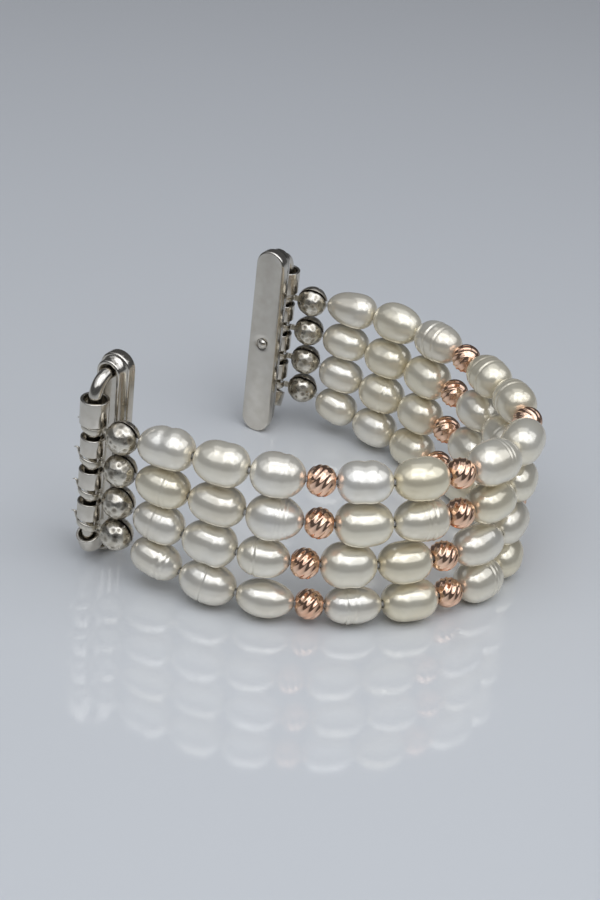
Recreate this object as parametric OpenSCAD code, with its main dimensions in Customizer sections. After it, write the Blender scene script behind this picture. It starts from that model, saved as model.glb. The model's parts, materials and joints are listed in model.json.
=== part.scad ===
// Pearl watch band: four strands of drilled pearls and fluted rose-gold beads on elastic cord,
// hooked by clamshell bead tips onto two round-rod pins that stand on slide-in lug bars.
// The band stands on its edge: Z runs along the pins, X across the wrist, Y away from the watch.
// Millimetres. The origin is on the floor, under the middle of the loop.

/* [Pearls] */
// Mean length of a pearl along its strand, before it is drilled
pearl_len = 7.45; // [6.8:0.05:8.2]
// Mean diameter of a pearl
pearl_d = 6; // [5.4:0.1:6.05]
// Drilled hole through a pearl
pearl_bore = 1.3; // [1:0.05:1.8]
// How blunt a pearl's ends are: 2 is an ellipse, more is a barrel
pearl_blunt = 2.4; // [2:0.1:3]
// Air left between neighbouring beads on a strand
bead_gap = 0.25; // [0.2:0.05:0.6]
// Air left between the beads at the front of the loop, where they turn most
front_gap = 0.35; // [0.35:0.05:0.6]

/* [Rose-gold beads] */
// Length of a rose-gold bead along its strand
rose_len = 3.7; // [3.2:0.1:4.2]
// Diameter of a rose-gold bead
rose_d = 4.1; // [3.6:0.1:4.6]
// Hole through a rose-gold bead
rose_bore = 1.4; // [1:0.05:1.8]
// Slanted flutes cut round a rose-gold bead
flute_count = 10; // [6:1:12]
// Radius of the cutter that makes a flute
flute_r = 0.75; // [0.5:0.05:1]
// Depth of a flute at the bead's equator
flute_depth = 0.28; // [0.1:0.02:0.34]
// Slant of the flutes against the strand, in degrees
flute_slant = 45; // [0:1:45]

/* [Loop] */
// Lean of the near straight run towards the far side, in degrees
near_lean = 3.5; // [0:0.5:8]
// Bend radius of the strands after the near run
near_bend_r = 37; // [34:0.5:40]
// Turn of the near bend, in degrees
near_bend = 66; // [63:0.5:69]
// Bend radius at the front of the loop
front_bend_r = 14; // [13.5:0.5:17]
// Turn of the front bend, in degrees
front_bend = 65; // [62:0.5:68]
// Bend radius of the strands on the way back to the far pin
far_bend_r = 45; // [42:0.5:48]
// Turn of the far bend, in degrees
far_bend = 60; // [57:0.5:63]
// How much longer the near straight run is than the far one
run_lead = 14; // [12:0.5:16]

/* [Rows] */
// Distance between the strands round the middle of the loop
row_pitch = 6.4; // [6.4:0.1:7.2]
// Length over which the strands fan out from the knots
fan_len = 26; // [22:0.5:28]
// How quickly the strands fan out
fan_power = 3; // [2.6:0.1:3.4]

/* [Elastic cords] */
// Diameter of the elastic cord in each strand
cord_d = 0.7; // [0.5:0.05:0.9]
// Diameter of the knot that ends a cord
knot_d = 1.7; // [1.3:0.1:2.2]

/* [Bead tips] */
// Outside diameter of a bead tip's two cups
tip_d = 4.6; // [4.2:0.1:4.7]
// Wall of the cups
tip_wall = 0.35; // [0.25:0.05:0.5]
// Distance from the pin's axis to the middle of the cups
tip_reach = 4.4; // [4.3:0.1:5]
// Seam between the two cups
tip_seam = 0.4; // [0.2:0.05:0.7]
// Width of the slot where the cord leaves the cups
tip_hole = 1.2; // [1:0.05:1.6]
// Distance between the slot's two round ends, which lets the cord slope to its row
tip_slot = 1; // [1:0.1:1.6]
// Thickness of the hook's strip
hook_wall = 0.4; // [0.3:0.05:0.5]
// Width of the hook's strip, along the pin
hook_w = 0.9; // [0.7:0.1:1.1]
// Air between a hook and the pin
hook_clear = 0.2; // [0.1:0.05:0.3]

/* [Pins] */
// Diameter of the round rod
rod_d = 1.8; // [1.5:0.1:2]
// Bend radius of the rod's corners, to its centreline
rod_bend_r = 2.6; // [2.4:0.1:3.2]
// Depth of the socket that holds a rod's end
rod_socket = 0.8; // [0.5:0.1:1]
// Straight length of pin between the lowest hook's seat and the lower bend
pin_foot = 0.5; // [0.5:0.1:1.5]
// Distance between neighbouring hooks along the pin
pin_pitch = 5; // [4.9:0.1:5.3]

/* [Spacer tubes] */
// Outside diameter of the middle tubes
tube_d = 3.4; // [3.2:0.1:3.5]
// Bore of the middle tubes
tube_bore = 2.8; // [2.5:0.1:2.9]
// Length of the middle tubes
tube_len = 2.6; // [2.3:0.1:2.9]
// Outside diameter of the top tube
top_tube_d = 3.9; // [3.4:0.1:4.2]
// Bore of the top tube
top_tube_bore = 3.1; // [2.6:0.1:3.3]
// Length of the top tube
top_tube_len = 3.6; // [3:0.1:4]
// Outside diameter of the foot tube on the lower bend
foot_tube_d = 3.3; // [3.1:0.1:3.4]
// Bore of the foot tube
foot_tube_bore = 2.5; // [2.5:0.05:2.8]
// Length of the foot tube
foot_tube_len = 2.3; // [1.8:0.1:2.4]
// Air above the top hook and below the lowest one
side_play = 0.4; // [0.3:0.05:0.5]

/* [Slide bars] */
// Length of a slide bar along the lug slot
bar_len = 30.5; // [30:0.5:33]
// Width of the bar's outer face
face_w = 3.6; // [3.4:0.1:3.8]
// Width of the flange that holds the bar in the slot
flange_w = 4.6; // [4.2:0.1:5]
// Depth of the bar's front part
face_depth = 1.6; // [1.5:0.1:2]
// Depth of the bar's flange
flange_depth = 1.6; // [1.5:0.1:2]
// Distance from the bar's outer face to the pin's axis
pin_reach = 2.7; // [2.7:0.1:3.4]
// Width of the trough along the bar's face
trough_w = 2.6; // [2.3:0.1:2.8]
// Depth of the trough
trough_depth = 1.3; // [1:0.05:1.3]

/* [Lock nubs] */
// Diameter of the nub that clicks into the lug slot
nub_d = 1.5; // [1.2:0.1:1.7]
// How far the nub stands out of the bar
nub_proud = 0.45; // [0.3:0.05:0.5]
// Diameter of the nub's collar
nub_collar_d = 2.2; // [2:0.1:2.4]
// Thickness of the nub's collar
nub_collar = 0.3; // [0.2:0.05:0.4]
// Height of the spring behind the nub
nub_spring_len = 0.84; // [0.7:0.02:0.9]
// Thickness of the lip that keeps the nub in
nub_lip = 0.25; // [0.2:0.05:0.3]
// Air round the nub
nub_clear = 0.1; // [0.05:0.05:0.15]

/* [Hidden] */

steel = [0.72, 0.70, 0.66];
old_silver = [0.60, 0.57, 0.51];
pearl_white = [0.93, 0.91, 0.87];
rose_gold = [0.86, 0.58, 0.47];
cord_clear = [0.95, 0.95, 0.93];

// Rows count from 0 at the top. Beads along a strand count from 0 at the near tips.
rows = 4;
bead_kinds = "PPPRPPRPPRPPRPPP";
beads = len(bead_kinds);
roses = len([for (k = bead_kinds) if (k == "R") 1]);
pearls = beads - roses;

// Each pearl's length and diameter against the mean: no two grown pearls are the same.
// The lengths of a strand add up to nothing, so that all four strands are equally long.
len_offset = [
    [0.4, 0, -0.4, -0.2, 0, 0.2, 0, -0.4, -0.2, 0, 0.2, 0.4],
    [0.2, 0.2, 0, 0.2, 0.2, 0.2, -0.2, 0, -0.2, -0.2, -0.2, -0.2],
    [-0.2, 0, -0.6, 0, 0, 0.6, 0.6, 0.6, 0, -0.4, -0.2, -0.4],
    [-0.2, 0.4, 0.2, 0.2, 0.4, 0.2, 0, 0.2, 0.2, -0.4, -0.4, -0.8]];
d_offset = [
    [-0.5, 0, 0.1, -0.2, 0.1, 0.3, 0.2, 0, 0, 0.3, 0, -0.5],
    [-0.5, -0.3, 0.3, 0.2, 0.1, 0, 0, 0.1, -0.1, 0.3, 0, -0.5],
    [-0.5, -0.1, -0.3, 0.3, -0.1, -0.2, 0.1, 0.2, 0.2, 0.3, 0, -0.5],
    [-0.5, -0.1, -0.5, -0.7, 0.1, 0.1, 0, 0.1, 0.2, 0.1, 0.1, -0.5]];

// The beads with the wider gap before them, and the air before each bead but the first
front_beads = [8, 9, 10];
function gap_before(i) = i >= front_beads[0] && i <= max(front_beads) ? front_gap : bead_gap;

// Places along a strand are measured from the near pin's axis.
first_bead = tip_reach + tip_d / 2 + bead_gap;
strand_len = 2 * first_bead + pearls * pearl_len + roses * rose_len
    + (beads - 1 - len(front_beads)) * bead_gap + len(front_beads) * front_gap;

// The loop: a straight run, three bends and a short straight run to the far pin.
function arc_len(r, turn) = r * turn * PI / 180;
runs = strand_len - arc_len(near_bend_r, near_bend) - arc_len(front_bend_r, front_bend)
    - arc_len(far_bend_r, far_bend);
near_run = (runs + run_lead) / 2;
far_run = (runs - run_lead) / 2;
near_bend_s = near_run;
front_bend_s = near_bend_s + arc_len(near_bend_r, near_bend);
far_bend_s = front_bend_s + arc_len(front_bend_r, front_bend);
far_run_s = far_bend_s + arc_len(far_bend_r, far_bend);
front_lean = near_lean + near_bend;
back_lean = front_lean + front_bend;
far_lean = back_lean + far_bend;

function run_point(from, lean, d) = from + d * [-sin(lean), cos(lean)];
function bend_point(from, lean, r, lean_now) =
    from + r * ([cos(lean_now), sin(lean_now)] - [cos(lean), sin(lean)]);
function turned(s, from_s, r) = (s - from_s) / r * 180 / PI;

near_pin_p = [0, 0];
near_bend_p = run_point(near_pin_p, near_lean, near_run);
front_bend_p = bend_point(near_bend_p, near_lean, near_bend_r, front_lean);
far_bend_p = bend_point(front_bend_p, front_lean, front_bend_r, back_lean);
far_run_p = bend_point(far_bend_p, back_lean, far_bend_r, far_lean);

// The point of the loop at a length s, seen from above, from the near pin
function loop_point(s) =
    s <= near_bend_s ? run_point(near_pin_p, near_lean, s) :
    s <= front_bend_s ? bend_point(near_bend_p, near_lean, near_bend_r,
                                   near_lean + turned(s, near_bend_s, near_bend_r)) :
    s <= far_bend_s ? bend_point(front_bend_p, front_lean, front_bend_r,
                                 front_lean + turned(s, front_bend_s, front_bend_r)) :
    s <= far_run_s ? bend_point(far_bend_p, back_lean, far_bend_r,
                                back_lean + turned(s, far_bend_s, far_bend_r)) :
    run_point(far_run_p, far_lean, s - far_run_s);

// The origin lies under the middle of the box round the loop.
front_y = bend_point(front_bend_p, front_lean, front_bend_r, 90)[1] + pearl_d / 2;
far_x = bend_point(far_bend_p, back_lean, far_bend_r, 180)[0] - pearl_d / 2;
near_x = near_pin_p[0] + top_tube_d / 2;
loop_mid = [(near_x + far_x) / 2, (front_y - flange_w / 2) / 2];
function plan(s) = loop_point(s) - loop_mid;
near_pin = plan(0);
far_pin = plan(strand_len);

// Heights. The pin's straight part carries, from below: foot, hook, tube, hook ... hook, top tube.
bar_mid_z = bar_len / 2;
hook_d = rod_d + 2 * hook_clear + 2 * hook_wall;
pin_straight = pin_foot + (rows - 1) * pin_pitch + hook_w + 2 * side_play + top_tube_len;
pin_low_z = bar_mid_z - pin_straight / 2;
pin_top_z = bar_mid_z + pin_straight / 2;
hook_low_z = pin_low_z + pin_foot + side_play + hook_w / 2;
row_low_z = (pearl_d + max(d_offset[rows - 1])) / 2;

// Height of a strand: close together at the pins, a pearl apart further on
function fan(s) =
    let (e = (min(s, strand_len - s) - tip_reach) / fan_len)
    1 - pow(1 - min(1, max(0, e)), fan_power);
function hook_z(row) = hook_low_z + (rows - 1 - row) * pin_pitch;
function row_z(row) = row_low_z + (rows - 1 - row) * row_pitch;
function strand_z(row, s) = hook_z(row) + (row_z(row) - hook_z(row)) * fan(s);
function strand_point(row, s) = [plan(s)[0], plan(s)[1], strand_z(row, s)];

// Beads on a strand
function is_rose(i) = bead_kinds[i] == "R";
function pearl_no(i) = i - len([for (j = [0 : 1 : i - 1]) if (is_rose(j)) 1]);
function bead_len(row, i) = is_rose(i) ? rose_len : pearl_len + len_offset[row][pearl_no(i)];
function bead_start(row, i) =
    i == 0 ? first_bead : bead_start(row, i - 1) + bead_len(row, i - 1) + gap_before(i);
function bead_end(row, i) = bead_start(row, i) + bead_len(row, i);
// The middle of the gap before bead i, where a strand flexes
function gap_s(row, i) = (i == 0 ? first_bead : bead_start(row, i)) - gap_before(i) / 2;

// Puts a child, drawn along Z round the origin, on a strand between two lengths.
module on_strand(row, from_s, to_s) {
    a = strand_point(row, from_s);
    b = strand_point(row, to_s);
    way = b - a;
    translate((a + b) / 2)
        rotate([0, acos(way[2] / norm(way)), atan2(way[1], way[0])])
            children();
}

// Pearls: the outline runs from one end of the drilled hole to the other.
pearl_steps = 16;
module pearl(length, d) {
    drilled = pow(1 - pow(pearl_bore / d, 2), 1 / pearl_blunt);
    color(pearl_white)
    rotate_extrude($fn = 48)
        polygon([
            for (j = [0 : pearl_steps])
                let (t = -drilled * cos(180 * j / pearl_steps))
                [d / 2 * sqrt(1 - pow(abs(t), pearl_blunt)), t * length / 2]]);
}

module pearl_column(i) {
    for (row = [0 : rows - 1])
        on_strand(row, bead_start(row, i), bead_end(row, i))
            pearl(bead_len(row, i), pearl_d + d_offset[row][pearl_no(i)]);
}

// Rose-gold beads: a round bead with flat ends and slanted flutes
module rose_bead() {
    cutter_at = rose_d / 2 - flute_depth + flute_r;
    color(rose_gold)
    difference() {
        intersection() {
            sphere(d = rose_d, $fn = 48);
            cube([rose_d, rose_d, rose_len], center = true);
        }
        cylinder(d = rose_bore, h = 2 * rose_d, center = true, $fn = 24);
        for (k = [0 : flute_count - 1])
            rotate([0, 0, k * 360 / flute_count])
                translate([cutter_at, 0, 0])
                    rotate([flute_slant, 0, 0])
                        cylinder(r = flute_r, h = 2 * rose_d, center = true, $fn = 24);
    }
}

module rose_column(i) {
    for (row = [0 : rows - 1])
        on_strand(row, bead_start(row, i), bead_end(row, i)) rose_bead();
}

// Elastic cords: straight through each bead, bending in the gaps between them
cord_sides = 8;
cord_stations = beads + 3;
knot_s = tip_reach + knot_d / 2;
function cord_s(row, k) =
    k == 0 ? knot_s :
    k == cord_stations - 1 ? strand_len - knot_s :
    k == beads + 1 ? strand_len - first_bead + bead_gap / 2 :
    gap_s(row, k - 1);

module elastic_cord(row) {
    path = [for (k = [0 : cord_stations - 1]) strand_point(row, cord_s(row, k))];
    last = cord_stations - 1;
    ways = [for (k = [0 : last]) path[min(k + 1, last)] - path[max(k - 1, 0)]];
    rings = [for (k = [0 : last])
        let (side = cross(ways[k], [0, 0, 1]) / norm(cross(ways[k], [0, 0, 1])),
             up = cross(side, ways[k]) / norm(ways[k]))
        for (j = [0 : cord_sides - 1])
            path[k] + cord_d / 2 * (cos(360 * j / cord_sides) * side
                                    + sin(360 * j / cord_sides) * up)];
    color(cord_clear)
    polyhedron(rings, concat(
        [for (j = [1 : cord_sides - 2]) [0, j, j + 1]],
        [for (k = [0 : last - 1], j = [0 : cord_sides - 1])
            let (a = k * cord_sides + j, b = k * cord_sides + (j + 1) % cord_sides)
            each [[a, a + cord_sides, b], [b, a + cord_sides, b + cord_sides]]],
        [for (j = [1 : cord_sides - 2])
            [last * cord_sides, last * cord_sides + j + 1, last * cord_sides + j]]));
}

module knots(near) {
    for (row = [0 : rows - 1])
        color(cord_clear)
        translate(strand_point(row, near ? tip_reach : strand_len - tip_reach))
            sphere(d = knot_d, $fn = 24);
}

// Bead tips: two cups that close on the knot, with a strip hooked round the pin.
// Drawn with the pin's axis on Z and the strand along X; the hook's free end faces -Y.
module cord_slot() {
    square([tip_hole, tip_slot], center = true);
    for (end = [-1, 1])
        translate([0, end * tip_slot / 2]) circle(d = tip_hole, $fn = 24);
}

hook_slit = 0.4;
hook_open = -140;
hook_end_at = -128;
hook_end_len = 0.55;
hook_end_w = 0.7;
seam_back = 1.4;
module bead_tip() {
    color(old_silver)
    difference() {
        union() {
            translate([tip_reach, 0, 0]) sphere(d = tip_d, $fn = 48);
            cylinder(d = hook_d, h = hook_w, center = true, $fn = 48);
            translate([0, -hook_wall, -hook_w / 2])
                cube([tip_reach - tip_d / 2 + tip_wall, 2 * hook_wall, hook_w]);
            rotate([0, 0, hook_end_at])
                translate([hook_d / 2 - hook_wall, -hook_wall / 2, -hook_end_w / 2])
                    cube([hook_end_len + hook_wall, hook_wall, hook_end_w]);
        }
        translate([tip_reach, 0, 0]) sphere(d = tip_d - 2 * tip_wall, $fn = 48);
        cylinder(d = rod_d + 2 * hook_clear, h = 2 * hook_w, center = true, $fn = 48);
        translate([tip_reach - seam_back, -tip_seam / 2, -tip_d])
            cube([tip_d, tip_seam, 2 * tip_d]);
        translate([tip_reach, 0, 0])
            rotate([90, 0, 90]) linear_extrude(tip_d) cord_slot();
        rotate([0, 0, hook_open])
            translate([0, -hook_slit / 2, -hook_w]) cube([hook_d, hook_slit, 2 * hook_w]);
    }
}

module near_tip(row) {
    translate([near_pin[0], near_pin[1], hook_z(row)])
        rotate([0, 0, 90 + near_lean]) bead_tip();
}

module far_tip(row) {
    way = plan(strand_len - first_bead) - far_pin;
    translate([far_pin[0], far_pin[1], hook_z(row)])
        rotate([0, 0, atan2(way[1], way[0])]) mirror([0, 1, 0]) bead_tip();
}

// Everything from here to the nub is drawn with the pin's axis on Z and the bar on the -X side.
module near_side() {
    translate([near_pin[0], near_pin[1], 0]) children();
}
module far_side() {
    translate([far_pin[0], far_pin[1], 0]) rotate([0, 0, 180]) children();
}

// Spacer tubes: 1 is the wide one on top, 5 sits on the pin's lower bend.
module tube(d, bore, length) {
    color(steel)
    difference() {
        cylinder(d = d, h = length, center = true, $fn = 48);
        cylinder(d = bore, h = 2 * length, center = true, $fn = 48);
    }
}

// The foot tube's axis is the chord of the bend that it covers, moved out by half the rise.
foot_tilt = asin(foot_tube_len / 2 / rod_bend_r);
foot_rise = rod_bend_r * (1 - cos(foot_tilt));
module foot_tube() {
    translate([-rod_bend_r, 0, pin_low_z])
        rotate([0, foot_tilt, 0])
            translate([rod_bend_r - foot_rise / 2, 0, 0])
                tube(foot_tube_d, foot_tube_bore, foot_tube_len);
}

module tube_no(n) {
    if (n == 1)
        translate([0, 0, hook_z(0) + hook_w / 2 + side_play + top_tube_len / 2])
            tube(top_tube_d, top_tube_bore, top_tube_len);
    else if (n == rows + 1)
        foot_tube();
    else
        translate([0, 0, hook_z(n - 1) + pin_pitch / 2]) tube(tube_d, tube_bore, tube_len);
}

// The rod: a round wire bent square at both ends, with its ends in the bar's sockets
module rod() {
    leg = pin_reach + trough_depth + rod_socket - rod_bend_r;
    color(steel)
    union() {
        translate([0, 0, pin_low_z]) cylinder(d = rod_d, h = pin_straight, $fn = 48);
        for (top = [false, true])
            translate([-rod_bend_r, 0, top ? pin_top_z : pin_low_z])
                mirror([0, 0, top ? 0 : 1]) {
                    rotate([90, 0, 0])
                        rotate_extrude(angle = 90, $fn = 48)
                            translate([rod_bend_r, 0]) circle(d = rod_d, $fn = 48);
                    translate([0, 0, rod_bend_r])
                        rotate([0, -90, 0]) cylinder(d = rod_d, h = leg, $fn = 48);
                }
    }
}

// A flat oval slab in the bar's plane, from one depth behind the pin's axis to another
module oval_slab(width, length, from_x, to_x) {
    translate([-to_x, 0, bar_mid_z])
        rotate([0, 90, 0])
            linear_extrude(to_x - from_x)
                union() {
                    square([length - width, width], center = true);
                    for (end = [-1, 1])
                        translate([end * (length - width) / 2, 0]) circle(d = width, $fn = 48);
                }
}

// The slide bar: a face with a trough for the rod, on a wider flange with the nub's pocket
socket_air = 0.02;
leg_span = pin_straight + 2 * rod_bend_r;
back_x = pin_reach + face_depth + flange_depth;
module slide_bar() {
    floor_x = pin_reach + trough_depth;
    pocket = nub_lip + nub_collar + nub_spring_len + socket_air;
    color(steel)
    difference() {
        union() {
            oval_slab(face_w, bar_len - flange_w + face_w, pin_reach, back_x);
            oval_slab(flange_w, bar_len, pin_reach + face_depth, back_x);
        }
        oval_slab(trough_w, leg_span + trough_w, 0, floor_x);
        for (end = [-1, 1])
            translate([-floor_x - rod_socket - socket_air, 0, bar_mid_z + end * leg_span / 2])
                rotate([0, 90, 0])
                    cylinder(d = rod_d + 2 * socket_air, h = bar_len / 4, $fn = 48);
        translate([-back_x + nub_lip, 0, bar_mid_z])
            rotate([0, 90, 0])
                cylinder(d = nub_collar_d + 2 * nub_clear, h = pocket - nub_lip, $fn = 48);
        translate([-back_x - 1, 0, bar_mid_z])
            rotate([0, 90, 0]) cylinder(d = nub_d + 2 * nub_clear, h = 1 + pocket / 2, $fn = 48);
    }
}

// The lock nub: a round-ended pin with a collar behind the lip
module lock_nub() {
    dome_r = nub_d / 2;
    collar_x = -back_x + nub_lip + socket_air;
    color(steel)
    translate([collar_x, 0, bar_mid_z])
        rotate([0, -90, 0])
            rotate_extrude($fn = 48)
                intersection() {
                    union() {
                        translate([0, -nub_collar]) square([nub_collar_d / 2, nub_collar]);
                        translate([0, -nub_collar])
                            square([nub_d / 2, nub_collar + nub_lip + nub_proud - dome_r / 2]);
                        translate([0, nub_lip + nub_proud - dome_r]) circle(r = dome_r, $fn = 48);
                    }
                    translate([0, -nub_collar])
                        square([nub_collar_d, nub_collar + nub_lip + nub_proud]);
                }
}

// The nub's spring: a small coil between the pocket's floor and the collar
spring_wire = 0.16;
spring_turns = 3;
spring_steps = 8;
spring_sides = 6;
module nub_spring() {
    r = (nub_collar_d - spring_wire) / 2 - nub_clear;
    last = spring_turns * spring_steps;
    rise = nub_spring_len - spring_wire - 2 * socket_air;
    rings = [for (k = [0 : last], j = [0 : spring_sides - 1])
        let (a = 360 * k / spring_steps, b = 360 * j / spring_sides,
             out = r + spring_wire / 2 * cos(b))
        [out * cos(a), out * sin(a), rise * k / last + spring_wire / 2 * sin(b)]];
    color(steel)
    translate([-back_x + nub_lip + nub_collar + 2 * socket_air + spring_wire / 2, 0, bar_mid_z])
        rotate([0, 90, 0])
            polyhedron(rings, concat(
                [for (j = [1 : spring_sides - 2]) [0, j, j + 1]],
                [for (k = [0 : last - 1], j = [0 : spring_sides - 1])
                    let (a = k * spring_sides + j,
                         b = k * spring_sides + (j + 1) % spring_sides)
                    each [[a, a + spring_sides, b], [b, a + spring_sides, b + spring_sides]]],
                [for (j = [1 : spring_sides - 2])
                    [last * spring_sides, last * spring_sides + j + 1,
                     last * spring_sides + j]]));
}

near_side() slide_bar();  // near_slide_bar
near_side() rod();  // near_rod
near_side() lock_nub();  // near_lock_nub
near_side() nub_spring();  // near_nub_spring
near_side() tube_no(1);  // near_tube_1
near_side() tube_no(2);  // near_tube_2
near_side() tube_no(3);  // near_tube_3
near_side() tube_no(4);  // near_tube_4
near_side() tube_no(5);  // near_tube_5
near_tip(0);  // near_bead_tip_1
near_tip(1);  // near_bead_tip_2
near_tip(2);  // near_bead_tip_3
near_tip(3);  // near_bead_tip_4
knots(true);  // near_knots
pearl_column(0);  // pearls_01
pearl_column(1);  // pearls_02
pearl_column(2);  // pearls_03
rose_column(3);  // rose_beads_1
pearl_column(4);  // pearls_04
pearl_column(5);  // pearls_05
rose_column(6);  // rose_beads_2
pearl_column(7);  // pearls_06
pearl_column(8);  // pearls_07
rose_column(9);  // rose_beads_3
pearl_column(10);  // pearls_08
pearl_column(11);  // pearls_09
rose_column(12);  // rose_beads_4
pearl_column(13);  // pearls_10
pearl_column(14);  // pearls_11
pearl_column(15);  // pearls_12
elastic_cord(0);  // elastic_cord_1
elastic_cord(1);  // elastic_cord_2
elastic_cord(2);  // elastic_cord_3
elastic_cord(3);  // elastic_cord_4
far_tip(0);  // far_bead_tip_1
far_tip(1);  // far_bead_tip_2
far_tip(2);  // far_bead_tip_3
far_tip(3);  // far_bead_tip_4
knots(false);  // far_knots
far_side() tube_no(1);  // far_tube_1
far_side() tube_no(2);  // far_tube_2
far_side() tube_no(3);  // far_tube_3
far_side() tube_no(4);  // far_tube_4
far_side() tube_no(5);  // far_tube_5
far_side() slide_bar();  // far_slide_bar
far_side() rod();  // far_rod
far_side() lock_nub();  // far_lock_nub
far_side() nub_spring();  // far_nub_spring
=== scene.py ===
"""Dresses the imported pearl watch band: grown pearls, fluted rose-gold beads, hammered bead tips,
polished bars and tubes, and the cord that shows between the beads. Lengths are in metres."""
import json
import math
import random

import bpy
import numpy as np
from mathutils import Matrix, Vector


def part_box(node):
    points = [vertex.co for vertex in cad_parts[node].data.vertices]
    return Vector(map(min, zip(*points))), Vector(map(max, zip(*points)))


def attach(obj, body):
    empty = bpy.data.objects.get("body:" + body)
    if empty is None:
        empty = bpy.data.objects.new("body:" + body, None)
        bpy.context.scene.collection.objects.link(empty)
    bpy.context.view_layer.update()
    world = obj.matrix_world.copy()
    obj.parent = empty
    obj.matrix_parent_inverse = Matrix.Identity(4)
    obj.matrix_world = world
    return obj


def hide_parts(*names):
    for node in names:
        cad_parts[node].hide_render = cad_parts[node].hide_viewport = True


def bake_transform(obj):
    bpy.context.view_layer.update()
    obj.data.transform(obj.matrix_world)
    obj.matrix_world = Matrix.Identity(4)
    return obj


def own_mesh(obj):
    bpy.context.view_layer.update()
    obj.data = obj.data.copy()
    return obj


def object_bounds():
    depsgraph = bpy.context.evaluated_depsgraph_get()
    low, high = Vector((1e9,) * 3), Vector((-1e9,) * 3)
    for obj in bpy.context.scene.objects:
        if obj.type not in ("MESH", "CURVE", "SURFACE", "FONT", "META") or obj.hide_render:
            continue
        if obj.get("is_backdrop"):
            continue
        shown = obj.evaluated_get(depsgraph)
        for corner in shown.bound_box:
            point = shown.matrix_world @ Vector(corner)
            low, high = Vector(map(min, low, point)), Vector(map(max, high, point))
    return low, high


MM = 0.001
ROWS = 4
X = np.array([1.0, 0.0, 0.0])
Z = np.array([0.0, 0.0, 1.0])

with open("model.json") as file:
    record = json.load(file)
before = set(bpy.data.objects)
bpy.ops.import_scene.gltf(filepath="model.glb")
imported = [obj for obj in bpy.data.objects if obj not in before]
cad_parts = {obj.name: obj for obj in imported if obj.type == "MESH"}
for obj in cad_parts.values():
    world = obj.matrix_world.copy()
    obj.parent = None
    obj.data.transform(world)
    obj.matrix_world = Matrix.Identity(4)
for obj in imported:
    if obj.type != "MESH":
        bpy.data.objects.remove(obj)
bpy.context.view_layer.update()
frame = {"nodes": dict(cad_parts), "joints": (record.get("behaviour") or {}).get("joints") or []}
nodes = frame["nodes"]


# Reading the frame
WELD = 0.002 * MM


def unit(v):
    return v / np.linalg.norm(v)


def solids_of(node):
    """The corner points of each solid in a CAD node, the highest solid first."""
    mesh = nodes[node].data
    corners = np.empty(len(mesh.vertices) * 3)
    mesh.vertices.foreach_get("co", corners)
    corners = corners.reshape(-1, 3)
    places, welded = np.unique(np.round(corners / WELD).astype(np.int64), axis=0, return_inverse=True)
    welded = welded.ravel()
    group = np.arange(len(places))
    edges = np.empty(len(mesh.edges) * 2, int)
    mesh.edges.foreach_get("vertices", edges)
    a, b = welded[edges.reshape(-1, 2)].T
    # The points of an edge take the lower group number of the two, until nothing changes
    while True:
        low = np.minimum(group[a], group[b])
        before = group.copy()
        np.minimum.at(group, a, low)
        np.minimum.at(group, b, low)
        group = group[group]
        if (group == before).all():
            break
    labels = group[welded]
    parts = [np.unique(np.round(corners[labels == k], 8), axis=0) for k in np.unique(labels)]
    return sorted(parts, key=lambda p: -p[:, 2].mean())


def long_axis(points):
    """(middle, direction, length, diameter) of a solid of revolution."""
    mid = points.mean(0)
    way = np.linalg.svd(points - mid, full_matrices=False)[2][0]
    along = (points - mid) @ way
    mid = mid + way * (along.max() + along.min()) / 2
    off = (points - mid) - np.outer((points - mid) @ way, way)
    return mid, way, along.max() - along.min(), 2 * np.linalg.norm(off, axis=1).max()


def pin_axis(side):
    """Where a side's pin stands, as (x, y)."""
    low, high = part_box(f"{side}_tube_2")
    return np.array([(low.x + high.x) / 2, (low.y + high.y) / 2])


# Materials

def shader(name, **sockets):
    """A new material, its node tree and its shader, with plain values set on the shader."""
    mat = bpy.data.materials.new(name)
    mat.use_nodes = True
    tree = mat.node_tree
    bsdf = tree.nodes["Principled BSDF"]
    for key, value in sockets.items():
        bsdf.inputs[key.replace("_", " ")].default_value = value
    return mat, tree, bsdf


def noise(tree, scale, detail, rough=0.5):
    """A noise pattern fixed to the piece; scale is in features a metre."""
    place = tree.nodes.new("ShaderNodeTexCoord")
    made = tree.nodes.new("ShaderNodeTexNoise")
    made.inputs["Scale"].default_value = scale
    made.inputs["Detail"].default_value = detail
    made.inputs["Roughness"].default_value = rough
    tree.links.new(place.outputs["Object"], made.inputs["Vector"])
    return made.outputs["Fac"]


def grey(value):
    return (value, value, value)


def ramp(tree, value, *stops):
    """Colours along a value: stops are (place, colour)."""
    made = tree.nodes.new("ShaderNodeValToRGB")
    band = made.color_ramp
    while len(band.elements) < len(stops):
        band.elements.new(0.5)
    for element, (place, colour) in zip(band.elements, stops):
        element.position = place
        element.color = (*colour, 1)
    tree.links.new(value, made.inputs["Fac"])
    return made.outputs["Color"]


def mark(tree):
    """The number that a mesh carries at each point."""
    made = tree.nodes.new("ShaderNodeAttribute")
    made.attribute_name = "mark"
    return made.outputs["Fac"]


def multiply(tree, first, second):
    made = tree.nodes.new("ShaderNodeMix")
    made.data_type = "RGBA"
    made.blend_type = "MULTIPLY"
    made.inputs["Factor"].default_value = 1
    colours = [socket for socket in made.inputs if socket.type == "RGBA"]
    tree.links.new(first, colours[0])
    tree.links.new(second, colours[1])
    return next(socket for socket in made.outputs if socket.type == "RGBA")


def paint(tree, bsdf, tone):
    tree.links.new(tone, bsdf.inputs["Base Color"])


def roughen(tree, bsdf, pattern, *stops):
    tree.links.new(ramp(tree, pattern, *stops), bsdf.inputs["Roughness"])


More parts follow.
